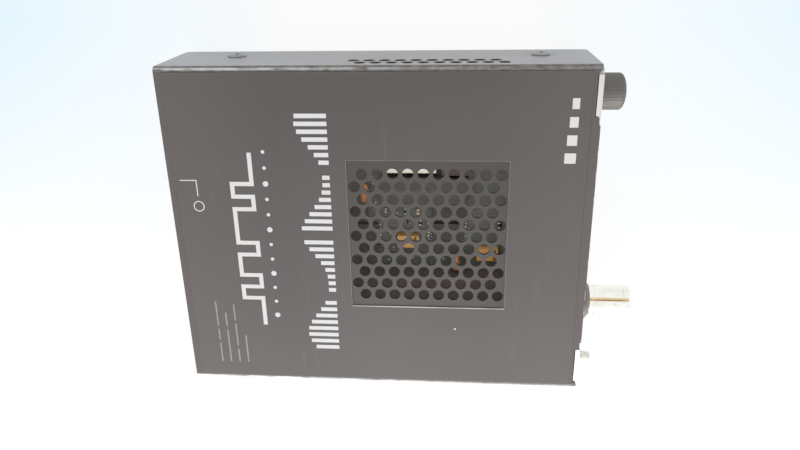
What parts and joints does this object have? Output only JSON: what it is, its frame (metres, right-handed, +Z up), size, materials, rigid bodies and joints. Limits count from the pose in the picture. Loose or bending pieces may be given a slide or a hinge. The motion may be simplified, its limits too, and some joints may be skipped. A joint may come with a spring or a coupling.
{
  "type": "media converter",
  "caption": "Desktop media converter: black folded steel case with vented lid, and a slide-in card with bayonet coaxial jack, network jack, lamp and thumbscrew.",
  "frame": {"origin": "middle of the whole object's footprint, on the surface that the feet stand on", "axes": "+Z up out of the labelled face, -Y out of the front panel, +X to the thumbscrew's side"},
  "size_m": [0.1046, 0.1416, 0.0311],
  "materials": {
    "black_paint": "fine-textured satin black baked paint on folded steel",
    "label_film": "satin dark grey printed polyester film",
    "rubber": "matt black moulded rubber",
    "black_screw": "black oxide steel, bright where worn",
    "zinc_steel": "bright zinc-plated steel",
    "bright_panel": "clear-passivated bright aluminium",
    "natural_nylon": "black moulded nylon",
    "board_green": "satin green solder mask on glass-epoxy",
    "black_moulding": "satin black moulded plastic",
    "black_knob": "satin black moulded knob, fine axial knurl",
    "nickel": "bright nickel plate",
    "gold": "gold-plated contact",
    "ptfe": "white PTFE insulator",
    "tinned_lead": "tinned copper lead",
    "yellow_moulding": "yellow moulded epoxy",
    "orange_dip": "glossy orange-brown dipped epoxy",
    "white_moulding": "off-white moulded plastic",
    "grey_moulding": "matt dark grey potted module",
    "aluminium_can": "drawn aluminium can",
    "clear_lens": "pale green-grey translucent lens",
    "light_window": "translucent green window",
    "ferrite": "dark ferrite ring with enamelled wire",
    "brown_ceramic": "tan ceramic chip",
    "black_ceramic": "black glazed chip",
    "amber_fuse": "amber coated fuse"
  },
  "bodies": {
    "chassis": {"cover": "black_paint", "face_label": "label_film", "base_tray": "black_paint", "rubber_feet": "rubber", "side_screws": "black_screw", "card_guide_left": "natural_nylon", "card_guide_right": "natural_nylon", "power_board": "board_green", "board_spacers": "zinc_steel", "rear_screws": "black_screw", "board_screws": "zinc_steel", "dc_jack_body": "black_moulding", "dc_jack_pin": "nickel", "dc_jack_spring": "nickel", "card_socket": "black_moulding", "socket_contacts": "gold", "input_capacitor": "aluminium_can", "input_fuse": "amber_fuse"},
    "card": {"card_panel": "bright_panel", "card_board": "board_green", "board_brackets": "zinc_steel", "bracket_screws": "zinc_steel", "edge_fingers": "gold", "coax_housing": "black_moulding", "coax_barrel": "nickel", "coax_insulator": "ptfe", "coax_contact": "gold", "coax_pins": "tinned_lead", "network_jack": "black_moulding", "jack_lights": "light_window", "jack_shield": "nickel", "jack_wires": "gold", "status_lamp": "clear_lens", "lamp_holder": "black_moulding", "magnetics_module": "grey_moulding", "signal_relay": "white_moulding", "isolation_transformer": "black_moulding", "logic_chips": "black_ceramic", "chip_leads": "tinned_lead", "clock_can": "aluminium_can", "power_converter": "grey_moulding", "tantalum_capacitors": "yellow_moulding", "tantalum_ends": "tinned_lead", "dipped_capacitors": "orange_dip", "can_capacitor": "aluminium_can", "chip_resistors": "black_ceramic", "chip_capacitors": "brown_ceramic", "choke_coil": "ferrite"},
    "screw_carrier": {"retaining_washer": "zinc_steel"},
    "thumbscrew": {"thumbscrew_knob": "black_knob", "thumbscrew_shank": "zinc_steel"}
  },
  "joints": [
    {"name": "card_slide", "type": "slide", "parent": "chassis", "child": "card", "axis": [0, -1, 0], "range_m": [0, 0.085]},
    {"name": "thumbscrew_travel", "type": "slide", "parent": "card", "child": "screw_carrier", "axis": [0, -1, 0], "range_m": [0, 0.0025]},
    {"name": "thumbscrew_turn", "type": "hinge", "parent": "screw_carrier", "child": "thumbscrew", "pos_m": [0.0415, -0.05415, 0.01665], "axis": [0, -1, 0], "range_deg": [0, 1800]}
  ],
  "couplings": [
    {"joint": "thumbscrew_turn", "follows": "thumbscrew_travel", "rad_per_m": 12566}
  ]
}
